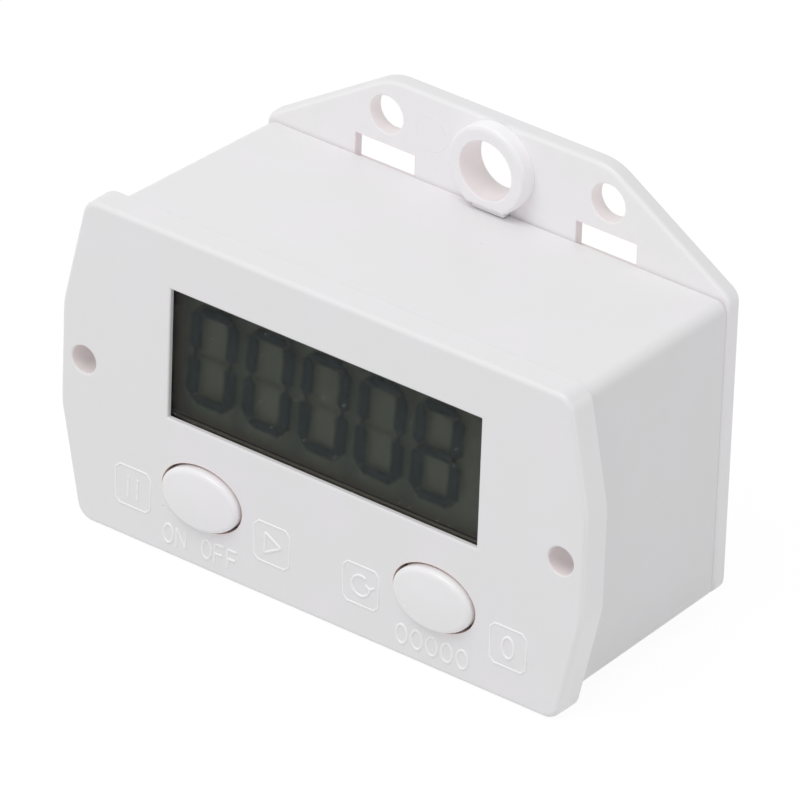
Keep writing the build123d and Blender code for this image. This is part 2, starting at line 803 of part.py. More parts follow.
with BuildPart() as rear_cover:
    with BuildSketch(layer(overall_depth)):
        with BuildLine():
            FilletPolyline(*cover_right, *cover_left, radius=cover_radii + cover_radii[::-1], close=True)
        make_face()
    extrude(amount=cover_thickness)
    fillet(rear_cover.faces().sort_by(Axis.Y)[0].edges(), radius=cover_front_edge_radius)
    fillet(rear_cover.faces().sort_by(Axis.Y)[-1].edges(), radius=cover_back_edge_radius)
    # Boss with its flat and bore
    with BuildSketch(layer(case_back)):
        with Locations((0, boss_z)):
            Circle(boss_radius)
        with Locations((0, boss_flat_z)):
            Rectangle(2 * boss_radius, boss_radius, align=(Align.CENTER, Align.MAX), mode=Mode.SUBTRACT)
    extrude(amount=boss_reach)
    with BuildSketch(layer(overall_depth + overrun)):
        with Locations((0, boss_z)):
            Circle(boss_bore_radius)
    extrude(amount=cover_thickness + boss_reach + 2 * overrun, mode=Mode.SUBTRACT)
    fillet(round_edges(rear_cover, boss_bore_radius), radius=boss_bore_rim_radius)
    fillet(rear_cover.faces().sort_by(Axis.Y)[0].outer_wire().edges(), radius=boss_edge_radius)
    # Foot under the boss's flat, just clear of the case
    with BuildSketch(layer(case_back)):
        with Locations((0, case_top + boss_foot_gap)):
            Rectangle(boss_foot_width, boss_flat_rise, align=(Align.CENTER, Align.MIN))
    extrude(amount=boss_reach - boss_foot_inset)
    # Bracket holes and strap slots
    with BuildSketch(layer(overall_depth + overrun)):
        with Locations(*both_sides(bracket_hole_spacing / 2, bracket_hole_z)):
            Circle(bracket_hole_radius)
    extrude(amount=cover_thickness + 2 * overrun, mode=Mode.SUBTRACT)
    fillet(round_edges(rear_cover, bracket_hole_radius), radius=hole_rim_radius)
    with BuildSketch(layer(overall_depth + overrun)):
        with Locations(*both_sides(bracket_hole_spacing / 2, slot_z)):
            Rectangle(slot_length, slot_height)
    extrude(amount=cover_thickness + 2 * overrun, mode=Mode.SUBTRACT)
    with BuildSketch(layer(overall_depth + overrun)):
        with Locations(*both_sides(bracket_hole_spacing / 2, slot_z)):
            Rectangle(slot_length + 2 * slot_relief_margin, slot_height + 2 * slot_relief_margin)
    extrude(amount=slot_relief_depth + overrun, mode=Mode.SUBTRACT)
    # Locating lip, clear of the corner blocks
    with BuildSketch(layer(case_back)):
        lip_outline = Rectangle(2 * lip_half_width, 2 * lip_half_height)
        offset(lip_outline, amount=-lip_thickness, mode=Mode.SUBTRACT)
        with Locations(*four_corners(block_x, block_z)):
            Rectangle(corner_block + 2 * fit_gap, corner_block + 2 * fit_gap, mode=Mode.SUBTRACT)
    extrude(amount=lip_depth)
    # Battery tub and the ledge that the door lies on
    with BuildSketch(layer(case_back)):
        Rectangle(2 * tub_outer_half, 2 * (tub_half_height + tub_wall))
    extrude(amount=case_back - tub_front)
    with BuildSketch(layer(case_back)):
        Rectangle(2 * lip_half_width, 2 * (opening_half_height + door_rim))
    extrude(amount=door_ledge_depth)
    with BuildSketch(layer(overall_depth + overrun)):
        Rectangle(2 * opening_half_length, 2 * opening_half_height)
    extrude(amount=overall_depth + overrun - ledge_depth, mode=Mode.SUBTRACT)
    with BuildSketch(layer(overall_depth + overrun)):
        Rectangle(2 * tub_half_length, 2 * tub_half_height)
    extrude(amount=overall_depth + overrun - tub_floor_back, mode=Mode.SUBTRACT)
    # Cradle ribs under the cell
    for x in (-cradle_x, cradle_x):
        with BuildSketch(side_layer(x - cradle_thickness / 2, cell_depth)):
            with Locations((-(cell_diameter / 2 + cell_side_gap), 0)):
                Rectangle(cradle_height, 2 * tub_half_height, align=(Align.MIN, Align.CENTER))
            Circle(cell_diameter / 2 + cradle_gap, mode=Mode.SUBTRACT)
        extrude(amount=cradle_thickness)
    # Slots for the contacts' tails
    with BuildSketch(layer(tub_floor_back)):
        with Locations(*both_sides(tub_half_length - contact_thickness, tail_z)):
            Rectangle(2 * contact_thickness, tail_width + 2 * seat_gap)
    extrude(amount=tub_floor + overrun / 2, mode=Mode.SUBTRACT)
    # Cover screw holes
    with BuildSketch(layer(overall_depth + overrun)):
        with Locations(*block_places):
            Circle(cover_screw_radius + cover_screw_hole_gap)
    extrude(amount=cover_thickness + 2 * overrun, mode=Mode.SUBTRACT)
    with BuildSketch(layer(overall_depth + overrun)):
        with Locations(*block_places):
            Circle(cover_screw_head_radius + cover_screw_hole_gap)
    extrude(amount=cover_screw_sink + overrun, mode=Mode.SUBTRACT)
    # Nail notch above the door and sockets for the door's hinge pins
    with BuildSketch(layer(overall_depth + overrun)):
        with Locations((0, nail_notch_z)):
            Circle(nail_notch_radius)
        with Locations((0, nail_notch_z - nail_notch_radius)):
            Rectangle(2 * nail_notch_radius, 2 * nail_notch_radius, mode=Mode.SUBTRACT)
    extrude(amount=nail_notch_depth + overrun, mode=Mode.SUBTRACT)
    for x, way in ((-opening_half_length, -1), (opening_half_length, 1)):
        with BuildSketch(side_layer(x, hinge_depth, hinge_z)):
            Circle(hinge_pin_radius + hinge_pin_gap)
        extrude(amount=way * (hinge_pin_length + hinge_pin_gap), mode=Mode.SUBTRACT)
write(rear_cover, "rear_cover")

# Battery door with a rounded hinge edge, pins, grip grooves and two small detents
door_top = opening_half_height - door_gap
with BuildPart() as battery_door:
    with BuildSketch(side_layer(-door_half_length, hinge_depth, hinge_z)):
        Circle(door_thickness / 2)
        Rectangle(door_thickness, door_top - hinge_z, align=(Align.CENTER, Align.MIN))
    extrude(amount=2 * door_half_length)
    with BuildSketch(side_layer(-door_half_length - hinge_pin_length, hinge_depth, hinge_z)):
        Circle(hinge_pin_radius)
    extrude(amount=2 * (door_half_length + hinge_pin_length))
    with BuildSketch(layer(overall_depth)):
        for index in range(grip_count):
            with Locations((0, door_top - (index + 1) * grip_pitch)):
                Rectangle(grip_length, grip_width)
    extrude(amount=grip_depth, mode=Mode.SUBTRACT)
    with BuildSketch(layer(hinge_depth + detent_height)):
        with Locations(*both_sides(detent_place_share * door_half_length, door_top)):
            Rectangle(detent_length, 2 * detent_height)
    extrude(amount=2 * detent_height)
write(battery_door, "battery_door")

# Cover screws
screw_head_front = overall_depth - cover_screw_sink
with BuildPart() as cover_screws:
    with BuildSketch(layer(screw_head_front)):
        with Locations(*block_places):
            Circle(cover_screw_radius)
    extrude(amount=cover_screw_length + cover_thickness - cover_screw_sink)
    with BuildSketch(layer(screw_head_front + cover_screw_head_height)):
        with Locations(*block_places):
            Circle(cover_screw_head_radius)
    extrude(amount=cover_screw_head_height)
    with BuildSketch(layer(screw_head_front + cover_screw_head_height)):
        with Locations(*block_places):
            add(cross_slot(cover_screw_head_radius))
    extrude(amount=screw_slot_depth, mode=Mode.SUBTRACT)
write(cover_screws, "cover_screws")

# Battery cell, its positive end towards +X
cell_right = contact_inner
cell_body_right = cell_right - cell_nub_length
cell_left = cell_right - cell_length
with BuildPart() as battery_cell:
    with BuildSketch(side_layer(cell_left, cell_depth)):
        Circle(cell_diameter / 2)
    extrude(amount=cell_body_right - cell_left - cell_cap_thickness)
    fillet(battery_cell.edges(), radius=cell_edge_radius)
write(battery_cell, "battery_cell")

with BuildPart() as battery_positive_cap:
    with BuildSketch(side_layer(cell_body_right - cell_cap_thickness, cell_depth)):
        Circle(cell_cap_radius)
    extrude(amount=cell_cap_thickness)
    with BuildSketch(side_layer(cell_body_right, cell_depth)):
        Circle(cell_nub_radius)
    extrude(amount=cell_nub_length)
write(battery_positive_cap, "battery_positive_cap")

# Battery contacts: a flat one for the positive end and a bowed leaf for the negative end
contact_back = door_front - contact_top_gap
tail_front = tub_front - tail_reach
leaf_radius = (leaf_half_span**2 + leaf_bow**2) / (2 * leaf_bow)

with BuildPart() as positive_contact:
    with BuildSketch(layer(contact_back)):
        with Locations((contact_inner + contact_thickness / 2, 0)):
            Rectangle(contact_thickness, contact_width + tail_width)
    extrude(amount=contact_back - tub_floor_back - seat_gap)
    with BuildSketch(layer(cell_depth)):
        with Locations((contact_inner + contact_thickness / 2, tail_z)):
            Rectangle(contact_thickness, tail_width)
    extrude(amount=cell_depth - tail_front)
write(positive_contact, "positive_contact")

with BuildPart() as negative_contact:
    with BuildSketch(layer(contact_back)):
        with Locations((-contact_inner - contact_thickness / 2, 0)):
            Rectangle(contact_thickness, contact_width + tail_width)
    extrude(amount=contact_back - tub_floor_back - seat_gap)
    with BuildSketch(layer(cell_depth)):
        with Locations((-contact_inner - contact_thickness / 2, tail_z)):
            Rectangle(contact_thickness, tail_width)
    extrude(amount=cell_depth - tail_front)
    leaf_plane = Plane(origin=(-contact_inner, face_y + cell_depth, mid_z - contact_width / 2))
    with BuildSketch(leaf_plane):
        with Locations((leaf_bow - leaf_radius, 0)):
            Circle(leaf_radius)
            Circle(leaf_radius - leaf_thickness, mode=Mode.SUBTRACT)
        Rectangle(
            2 * leaf_radius, 2 * (leaf_radius + overrun), align=(Align.MAX, Align.CENTER), mode=Mode.SUBTRACT
        )
    extrude(amount=contact_width)
write(negative_contact, "negative_contact")

# Battery leads, from each tail to a pad on the board
lead_room = tub_front - board_back
lead_x = contact_inner - lead_radius
lead_bend = lead_bend_share * min(lead_room, tail_z - lead_end_z)
lead_start = tub_front - seat_gap
for name, x in (("positive", lead_x), ("negative", -lead_x)):
    route = [
        (x, face_y + lead_start, mid_z + tail_z),
        (x, face_y + board_back + lead_room / 2, mid_z + tail_z),
        (x, face_y + board_back + lead_room / 2, mid_z + lead_end_z),
        (x, face_y + board_back, mid_z + lead_end_z),
    ]
    with BuildPart() as lead:
        with BuildLine() as path:
            FilletPolyline(*route, radius=lead_bend)
        with BuildSketch(Plane(origin=route[0], z_dir=(0, -1, 0))):
            Circle(lead_radius)
        sweep(path=path.wires()[0])
    write(lead, f"{name}_lead")
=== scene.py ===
"""The dressed counter: camera, materials, floor, lamp, display and raised marks."""
from math import cos, pi, radians, sin

import bpy
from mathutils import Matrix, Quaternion, Vector


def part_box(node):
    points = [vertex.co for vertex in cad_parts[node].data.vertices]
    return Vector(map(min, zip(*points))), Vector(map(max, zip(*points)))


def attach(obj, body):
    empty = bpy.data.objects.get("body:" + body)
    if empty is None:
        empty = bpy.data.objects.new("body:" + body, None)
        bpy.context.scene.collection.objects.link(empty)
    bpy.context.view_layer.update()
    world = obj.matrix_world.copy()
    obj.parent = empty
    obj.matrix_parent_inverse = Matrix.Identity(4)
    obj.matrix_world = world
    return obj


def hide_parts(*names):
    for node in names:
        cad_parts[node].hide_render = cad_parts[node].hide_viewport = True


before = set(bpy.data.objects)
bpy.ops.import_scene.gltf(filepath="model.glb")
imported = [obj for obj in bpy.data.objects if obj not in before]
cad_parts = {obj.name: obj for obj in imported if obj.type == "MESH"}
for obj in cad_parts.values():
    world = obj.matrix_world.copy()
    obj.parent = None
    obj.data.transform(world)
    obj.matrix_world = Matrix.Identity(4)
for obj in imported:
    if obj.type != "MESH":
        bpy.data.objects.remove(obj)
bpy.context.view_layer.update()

# Sizes and places are in millimetres, which MM turns into metres. The planes are the front of the face and
# the front of the bracket, and the height is the middle of the face.
MM = 0.001
FACE_Y, BRACKET_Y = -15.4, 14.6
MID_Z = 20.0

scene = bpy.context.scene
scene.view_settings.view_transform = "Standard"

# Camera

camera_place = Vector((595.7575, -794.5817, 591.7659)) * MM
camera_aim = Vector((-0.9015, 0.0, 20.3059)) * MM
camera_roll = radians(2.1131)
camera_data = bpy.data.cameras.new("camera")
camera_data.sensor_width = 36.0
camera_data.lens = 475.014
camera = bpy.data.objects.new("camera", camera_data)
camera.location = camera_place
camera.rotation_mode = "QUATERNION"
camera.rotation_quaternion = (
    (camera_aim - camera_place).to_track_quat("-Z", "Y") @ Quaternion((0, 0, 1), camera_roll)
)
scene.collection.objects.link(camera)
scene.camera = camera

# Node helpers

# Most of a noise's values lie between the first two, and most of a cloud's between the next two. An outline
# has faded out at the last one, as a share of its half size.
NOISE_SPAN = (0.3, 0.7)
CLOUD_SPAN = (0.35, 0.65)
OUTLINE_EDGE = 1.02


def add(tree, kind, values=None, links=None, **settings):
    """A new node with these socket values, incoming links and settings."""
    node = tree.nodes.new(kind)
    for key, value in settings.items():
        setattr(node, key, value)
    for key, value in (values or {}).items():
        node.inputs[key].default_value = value
    for key, output in (links or {}).items():
        tree.links.new(output, node.inputs[key])
    return node


def empty_material(name):
    """A material with an empty node tree."""
    material = bpy.data.materials.new(name)
    material.use_nodes = True
    material.node_tree.nodes.clear()
    return material, material.node_tree


def finish_material(tree, shader):
    """The shader goes to the material's surface."""
    add(tree, "ShaderNodeOutputMaterial", links={"Surface": shader})


def principled(tree, values, links):
    """A Principled shader with these values and links goes to the material's surface."""
    shader = add(tree, "ShaderNodeBsdfPrincipled", values, links)
    finish_material(tree, shader.outputs["BSDF"])


def mixed(tree, share, first, second):
    """The first shader where the share is 0 and the second where it is 1."""
    return add(tree, "ShaderNodeMixShader", links={"Fac": share, 1: first, 2: second}).outputs["Shader"]


def position(tree):
    """Coordinates in metres in the part's frame."""
    return add(tree, "ShaderNodeTexCoord").outputs["Object"]


def axes_of(tree, vector):
    """A vector socket's X, Y and Z."""
    return add(tree, "ShaderNodeSeparateXYZ", links={"Vector": vector}).outputs


def front_place(tree, axes):
    """The place as it is seen from the front, with the height as Y."""
    return add(tree, "ShaderNodeCombineXYZ", links={"X": axes["X"], "Y": axes["Z"]}).outputs["Vector"]


def noise(tree, size, detail=2.0, stretch=(1.0, 1.0, 1.0), place=None):
    """Noise from 0 to 1 whose features are about this many millimetres."""
    place = place or position(tree)
    mapping = add(tree, "ShaderNodeMapping", {"Scale": stretch}, {"Vector": place})
    texture = add(
        tree,
        "ShaderNodeTexNoise",
        {"Scale": 1.0 / (size * MM), "Detail": detail, "Roughness": 0.55},
        {"Vector": mapping.outputs["Vector"]},
    )
    return texture.outputs["Fac"]


def ramp(tree, factor, stops, interpolation="LINEAR"):
    """Colours along a factor: stops are (place, (r, g, b))."""
    node = add(tree, "ShaderNodeValToRGB", links={"Fac": factor})
    band = node.color_ramp
    band.interpolation = interpolation
    while len(band.elements) < len(stops):
        band.elements.new(0.5)
    for element, (place, colour) in zip(band.elements, stops):
        element.position = place
        element.color = (*colour, 1.0)
    return node.outputs["Color"]


def shades(tree, factor, first, second, span=NOISE_SPAN):
    """The first colour where a noise is low and the second where it is high."""
    return ramp(tree, factor, list(zip(span, (first, second))))


def between(tree, value, low, high, to_low, to_high, kind="LINEAR"):
    """The value moved from one range to another, clamped."""
    node = add(
        tree,
        "ShaderNodeMapRange",
        {"From Min": low, "From Max": high, "To Min": to_low, "To Max": to_high},
        {"Value": value},
        interpolation_type=kind,
    )
    return node.outputs["Result"]


def varied(tree, factor, low, high):
    """A number that is low where a noise is low, and high where it is high."""
    return between(tree, factor, *NOISE_SPAN, low, high)


def swung(tree, factor, middle, swing):
    """A number that a noise moves between two shares of its middle value."""
    low, high = swing
    return varied(tree, factor, middle * low, middle * high)


def calculate(tree, operation, first, second=None):
    """One step of arithmetic on sockets or numbers."""
    node = tree.nodes.new("ShaderNodeMath")
    node.operation = operation
    for socket, value in zip(node.inputs, (first, second)):
        if value is None:
            continue
        if isinstance(value, (int, float)):
            socket.default_value = value
        else:
            tree.links.new(value, socket)
    return node.outputs["Value"]


def bump(tree, height, depth, normal=None):
    """A bump this many millimetres deep."""
    node = add(tree, "ShaderNodeBump", {"Strength": 1.0, "Distance": depth * MM}, {"Height": height})
    if normal is not None:
        tree.links.new(normal, node.inputs["Normal"])
    return node.outputs["Normal"]


def multiplied(tree, colour, share):
    """A colour socket times a number socket."""
    node = add(tree, "ShaderNodeVectorMath", links={0: colour}, operation="SCALE")
    tree.links.new(share, node.inputs["Scale"])
    return node.outputs["Vector"]


def tinted(tree, colour, share, tint, kind="MULTIPLY"):
    """The colour times a tint where the share is 1, or the tint itself there where the kind is MIX."""
    node = add(tree, "ShaderNodeMix", data_type="RGBA", blend_type=kind)
    tree.links.new(share, node.inputs[0])
    tree.links.new(colour, node.inputs[6])
    node.inputs[7].default_value = (*tint, 1.0)
    return node.outputs[2]


def blended(tree, share, first, second):
    """The first number where the share is 0 and the second where it is 1."""
    step = calculate(tree, "MULTIPLY", share, calculate(tree, "SUBTRACT", second, first))
    return calculate(tree, "ADD", first, step)


def inside(tree, place, x, z, half_x, half_z, square=False):
    """1 inside an ellipse or a rectangle that is drawn on the front, and 0 outside it."""
    mapping = add(
        tree,
        "ShaderNodeMapping",
        {
            "Scale": (1 / (half_x * MM), 0.0, 1 / (half_z * MM)),
            "Location": (-x / half_x, 0.0, -z / half_z),
        },
        {"Vector": place},
    )
    operation = "ABSOLUTE" if square else "LENGTH"
    far = add(tree, "ShaderNodeVectorMath", links={0: mapping.outputs["Vector"]}, operation=operation)
    if square:
        parts = axes_of(tree, far.outputs["Vector"])
        far = calculate(tree, "MAXIMUM", parts["X"], parts["Z"])
    else:
        far = far.outputs["Value"]
    return between(tree, far, 1.0, OUTLINE_EDGE, 1.0, 0.0)


def grains_of(tree, cell, place, **settings):
    """The distance to the nearest of scattered points, in shares of a cell of this many millimetres."""
    texture = add(tree, "ShaderNodeTexVoronoi", {"Scale": 1.0 / (cell * MM)}, {"Vector": place}, **settings)
    return texture.outputs["Distance"]


def seen_directly(tree):
    """1 for the camera's rays and for mirrored and refracted ones, and 0 for light on its way to a piece."""
    rays = add(tree, "ShaderNodeLightPath").outputs
    share = calculate(tree, "MAXIMUM", rays["Is Camera Ray"], rays["Is Glossy Ray"])
    return calculate(tree, "MAXIMUM", share, rays["Is Transmission Ray"])


def scaled(colour, share):
    """The colour made lighter or darker."""
    return tuple(min(1.0, channel * share) for channel in colour)


def corners(name):
    """A node's lowest and highest corners in millimetres."""
    return [Vector(corner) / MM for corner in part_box(name)]


# Materials

digit_count = 5
group_x = -0.85
digit_pitch = 7.67

cloud_size = 9.0
grain_cell = 7.0
grain_core, grain_edge = 0.008, 0.016
wave_size, wave_depth = 6.0, 0.004
sheen_size, sheen_swing = 2.4, (0.85, 1.15)
# Painted shade on faces that point up starts and is full at these heights of the normal.
top_shade_start, top_shade_full = 0.35, 0.9
# Painted light on a boss's flanks fades in as the normal turns from the front, between these.
flank_light_start, flank_light_full = -0.8, -0.4
soft_step = 0.05
hollow_step = 0.1
# The band of painted shade above a seam: its height, and how far it reaches in front of and behind the plane.
seam_shade_height, seam_shade_front, seam_shade_back = 0.5, 0.3, 0.02
# Painted light on outer sides: how soon it fades in across the half width, and where it starts and is full by
# the normal's sideways share.
rim_light_step = 0.4
rim_light_start, rim_light_full = 0.5, 0.9


def boss_flank(tree, place, axes, facing, painted_light_boss):
    """1 on the side walls of a boss, where its painted flank light goes, given by its middle, its inner and
    outer radius and its back.
    """
    x, z, inner, outer, back = painted_light_boss
    flank = calculate(
        tree, "SUBTRACT", inside(tree, place, x, z, outer, outer), inside(tree, place, x, z, inner, inner)
    )
    for step in (
        between(tree, facing["Y"], flank_light_start, flank_light_full, 0.0, 1.0),
        between(tree, axes["Y"], (back - soft_step) * MM, back * MM, 1.0, 0.0),
    ):
        flank = calculate(tree, "MULTIPLY", flank, step)
    return flank


def seam_shade_share(tree, axes, height, plane):
    """1 on a front plane just above a height, where painted seam shade goes."""
    share = between(tree, axes["Z"], height * MM, (height + seam_shade_height) * MM, 1.0, 0.0)
    for edge, low, high in ((plane - seam_shade_front, 0.0, 1.0), (plane + seam_shade_back, 1.0, 0.0)):
        step = between(tree, axes["Y"], edge * MM, (edge + soft_step) * MM, low, high)
        share = calculate(tree, "MULTIPLY", share, step)
    return share


def rim_light_share(tree, axes, facing, half_width):
    """1 on the outer sides of what lies beyond a half width, where painted rim light goes."""
    sideways = calculate(tree, "ABSOLUTE", facing["X"])
    across = calculate(tree, "ABSOLUTE", axes["X"])
    beyond = between(tree, across, half_width * MM, (half_width + rim_light_step) * MM, 0.0, 1.0)
    return calculate(tree, "MULTIPLY", beyond, between(tree, sideways, rim_light_start, rim_light_full, 0.0, 1.0))


def plastic(name, colour, rough, grain, grain_depth, swing, hint=(1.0, 1.0, 1.0), specks=0.0, painted_rim_light=None,
            painted_top_shade=None, painted_light_boss=None, hollows=(), hollow_back=20.0, painted_seam_shade=None):
    """Moulded plastic: faint colour clouds that lean to a hint, fine mould texture and an uneven sheen.

    The grain is the size of the texture, and the swing is how far the clouds go from the colour. Specks are
    dark grains in it. Painted rim light makes sides beyond a half width lighter, a painted top shade scales
    what faces up, and a boss has painted light on its flanks. Walls inside the hollows, as far back as the
    given depth, get painted warm shade and glow, for light that has passed through plastic. Painted seam
    shade lies on a front plane just above a height.
    """
    material, tree = empty_material(name)
    place = position(tree)
    clouds = noise(tree, cloud_size, detail=3.0, place=place)
    hinted = tuple(channel * lean for channel, lean in zip(colour, hint))
    tone = shades(tree, clouds, scaled(colour, 1 - swing), scaled(hinted, 1 + swing), CLOUD_SPAN)
    if specks:
        far = grains_of(tree, grain_cell, place)
        tone = multiplied(tree, tone, between(tree, far, grain_core, grain_edge, 1.0 - specks, 1.0))
    facing = axes_of(tree, add(tree, "ShaderNodeNewGeometry").outputs["Normal"])
    axes = axes_of(tree, place)
    # Painted shade scales what faces up, and painted light lifts a boss's flanks.
    if painted_top_shade:
        painted_light_scale = between(tree, facing["Z"], top_shade_start, top_shade_full, 1.0, painted_top_shade)
        if painted_light_boss:
            *outline, painted_lift = painted_light_boss
            painted_light_scale = blended(tree, boss_flank(tree, place, axes, facing, outline), painted_light_scale, painted_lift)
        tone = multiplied(tree, tone, painted_light_scale)
    # Painted warm shade and glow on the walls inside the hollows, for light that passes through the plastic.
    if hollows:
        near = between(tree, axes["Y"], hollow_back * MM, (hollow_back + hollow_step) * MM, 1.0, 0.0)
    for *hollow, tint in hollows:
        tone = tinted(tree, tone, calculate(tree, "MULTIPLY", inside(tree, place, *hollow), near), tint)
    # Painted shade on the front plane just above the seam.
    if painted_seam_shade:
        height, plane, tint = painted_seam_shade
        tone = tinted(tree, tone, seam_shade_share(tree, axes, height, plane), tint)
    # Painted light on the outer sides beyond the half width.
    if painted_rim_light:
        half_width, painted_lift = painted_rim_light
        share = rim_light_share(tree, axes, facing, half_width)
        tone = multiplied(tree, tone, between(tree, share, 0.0, 1.0, 1.0, painted_lift))
    relief = bump(tree, noise(tree, grain, place=place), grain_depth)
    relief = bump(tree, noise(tree, wave_size, detail=1.0, place=place), wave_depth, relief)
    sheen = swung(tree, noise(tree, sheen_size, detail=3.0, place=place), rough, sheen_swing)
    principled(
        tree, {"Specular IOR Level": 0.5}, {"Base Color": tone, "Roughness": sheen, "Normal": relief}
    )
    return material


patch_size = 1.4
patch_dark, patch_light = 0.88, 1.06
patch_swing = (0.75, 1.3)


def metal(name, colour, rough, brushed=(1.0, 1.0, 1.0), scratch=0.12, scratch_depth=0.0015):
    """Plated metal with fine drawn lines and duller patches."""
    material, tree = empty_material(name)
    place = position(tree)
    dull = noise(tree, patch_size, detail=4.0, place=place)
    lines = noise(tree, scratch, detail=3.0, stretch=brushed, place=place)
    principled(
        tree,
        {"Metallic": 1.0},
        {
            "Base Color": shades(tree, dull, scaled(colour, patch_dark), scaled(colour, patch_light)),
            "Roughness": swung(tree, dull, rough, patch_swing),
            "Normal": bump(tree, lines, scratch_depth),
        },
    )
    return material


dust_cell = 2.7
dust_core, dust_edge = 0.017, 0.023
dust_start, dust_full = 0.56, 0.58
dust_patch, dust_more = 4.0, 0.2
dust_left = (-20.3, -19.7)
dust_low = (17.9, 18.7)
smear_size, smear_stretch = 5.0, (0.5, 1.0, 1.6)
smear_tint = 0.985
smear_rough, smear_gloss = (0.8, 1.2), (0.9, 1.1)
ripple_size, ripple_depth = 3.0, 0.001


def dust_share(tree, place, most):
    """The given share on grains of dust, which lie more densely near the left and lower edges."""
    axes = axes_of(tree, place)
    far = grains_of(tree, dust_cell, front_place(tree, axes), voronoi_dimensions="2D")
    dots = between(tree, far, dust_core, dust_edge, most, 0.0)
    left, low = (
        between(tree, axes[axis], start * MM, end * MM, dust_more, 0.0)
        for axis, (start, end) in (("X", dust_left), ("Z", dust_low))
    )
    near = calculate(tree, "MAXIMUM", left, low)
    some = calculate(tree, "ADD", noise(tree, dust_patch, place=place), near)
    return calculate(tree, "MULTIPLY", dots, between(tree, some, dust_start, dust_full, 0.0, 1.0))


def clear(name, tint, gloss, rough, dust=0.0):
    """A clear sheet: light passes straight on, a little is mirrored, with faint smears in the sheen."""
    material, tree = empty_material(name)
    place = position(tree)
    smears = noise(tree, smear_size, detail=3.0, stretch=smear_stretch, place=place)
    stain = shades(tree, smears, scaled(tint, smear_tint), tint)
    through = add(tree, "ShaderNodeBsdfTransparent", links={"Color": stain})
    mirror = add(
        tree,
        "ShaderNodeBsdfGlossy",
        {"Color": (1, 1, 1, 1)},
        {
            "Roughness": swung(tree, smears, rough, smear_rough),
            "Normal": bump(tree, noise(tree, ripple_size, place=place), ripple_depth),
        },
    )
    share = swung(tree, smears, gloss, smear_gloss)
    sheet = mixed(tree, share, through.outputs["BSDF"], mirror.outputs["BSDF"])
    if dust:
        grains = add(tree, "ShaderNodeBsdfDiffuse", {"Color": (0.8, 0.8, 0.8, 1)})
        sheet = mixed(tree, dust_share(tree, place, dust), sheet, grains.outputs["BSDF"])
    finish_material(tree, sheet)
    return material


weave_size = 0.18
shade_left, shade_core, shade_edge = 0.5, 0.5, 2.0
low_band = (16.4, 18.1)
left_band = (-21.2, -20.2)


def reflector_film():
    """The display's olive backing: browner bands at its edges, and soft shade left of each digit."""
    material, tree = empty_material("reflector_film")
    place = position(tree)
    axes = axes_of(tree, place)
    weave = noise(tree, weave_size, place=place)
    tone = shades(tree, weave, (0.149, 0.163, 0.137), (0.167, 0.181, 0.152))
    for digit in range(digit_count):
        middle = group_x - shade_left + (digit - digit_count / 2) * digit_pitch
        off = calculate(tree, "ABSOLUTE", calculate(tree, "SUBTRACT", axes["X"], middle * MM))
        shade = between(tree, off, shade_core * MM, shade_edge * MM, 1.0, 0.0, "SMOOTHSTEP")
        tone = tinted(tree, tone, shade, (0.76, 0.79, 0.83))
    for axis, (start, end), colour in (
        ("Z", low_band, (0.155, 0.134, 0.112)), ("X", left_band, (0.180, 0.155, 0.135)),
    ):
        share = between(tree, axes[axis], start * MM, end * MM, 1.0, 0.0, "SMOOTHSTEP")
        tone = tinted(tree, tone, share, colour, "MIX")
    principled(
        tree,
        {"Specular IOR Level": 0.2},
        {
            "Base Color": tone,
            "Roughness": varied(tree, weave, 0.5, 0.7),
            "Normal": bump(tree, weave, 0.001),
        },
    )
    return material


full_ink, ink_cover = 0.8, 0.85
ink_mottle = 0.9


def crystal_ink():
    """Dark liquid crystal that fades out at the edge of each bar."""
    material, tree = empty_material("crystal_ink")
    ink = add(tree, "ShaderNodeAttribute", attribute_name="ink").outputs["Fac"]
    fade = between(tree, ink, 0.0, full_ink, 0.0, ink_cover, "SMOOTHSTEP")
    mottle = noise(tree, ink_mottle)
    dark = add(
        tree,
        "ShaderNodeBsdfPrincipled",
        {"Specular IOR Level": 0.1},
        {
            "Base Color": shades(tree, mottle, (0.012, 0.021, 0.026), (0.016, 0.025, 0.030)),
            "Roughness": varied(tree, mottle, 0.5, 0.65),
        },
    )
    through = add(tree, "ShaderNodeBsdfTransparent")
    finish_material(tree, mixed(tree, fade, through.outputs["BSDF"], dark.outputs["BSDF"]))
    return material


layer_pitch, rubber_grain = 0.18, 0.2


def striped_rubber():
    """Contact rubber with thin dark conducting layers along its length."""
    material, tree = empty_material("striped_rubber")
    place = position(tree)
    turns = calculate(tree, "MULTIPLY", axes_of(tree, place)["X"], 2 * pi / (layer_pitch * MM))
    stripe = between(tree, calculate(tree, "SINE", turns), -1.0, 1.0, 0.0, 1.0)
    grain = noise(tree, rubber_grain, place=place)
    principled(
        tree,
        {"Specular IOR Level": 0.35},
        {
            "Base Color": shades(tree, stripe, (0.062, 0.053, 0.046), (0.112, 0.096, 0.083), (0.35, 0.6)),
            "Roughness": varied(tree, grain, 0.55, 0.75),
            "Normal": bump(tree, grain, 0.004),
        },
    )
    return material


track_gap, track_length, track_height = 0.25, 3.6, 1.3
mask_weave, mask_depth, track_depth = 0.3, 0.003, 0.03


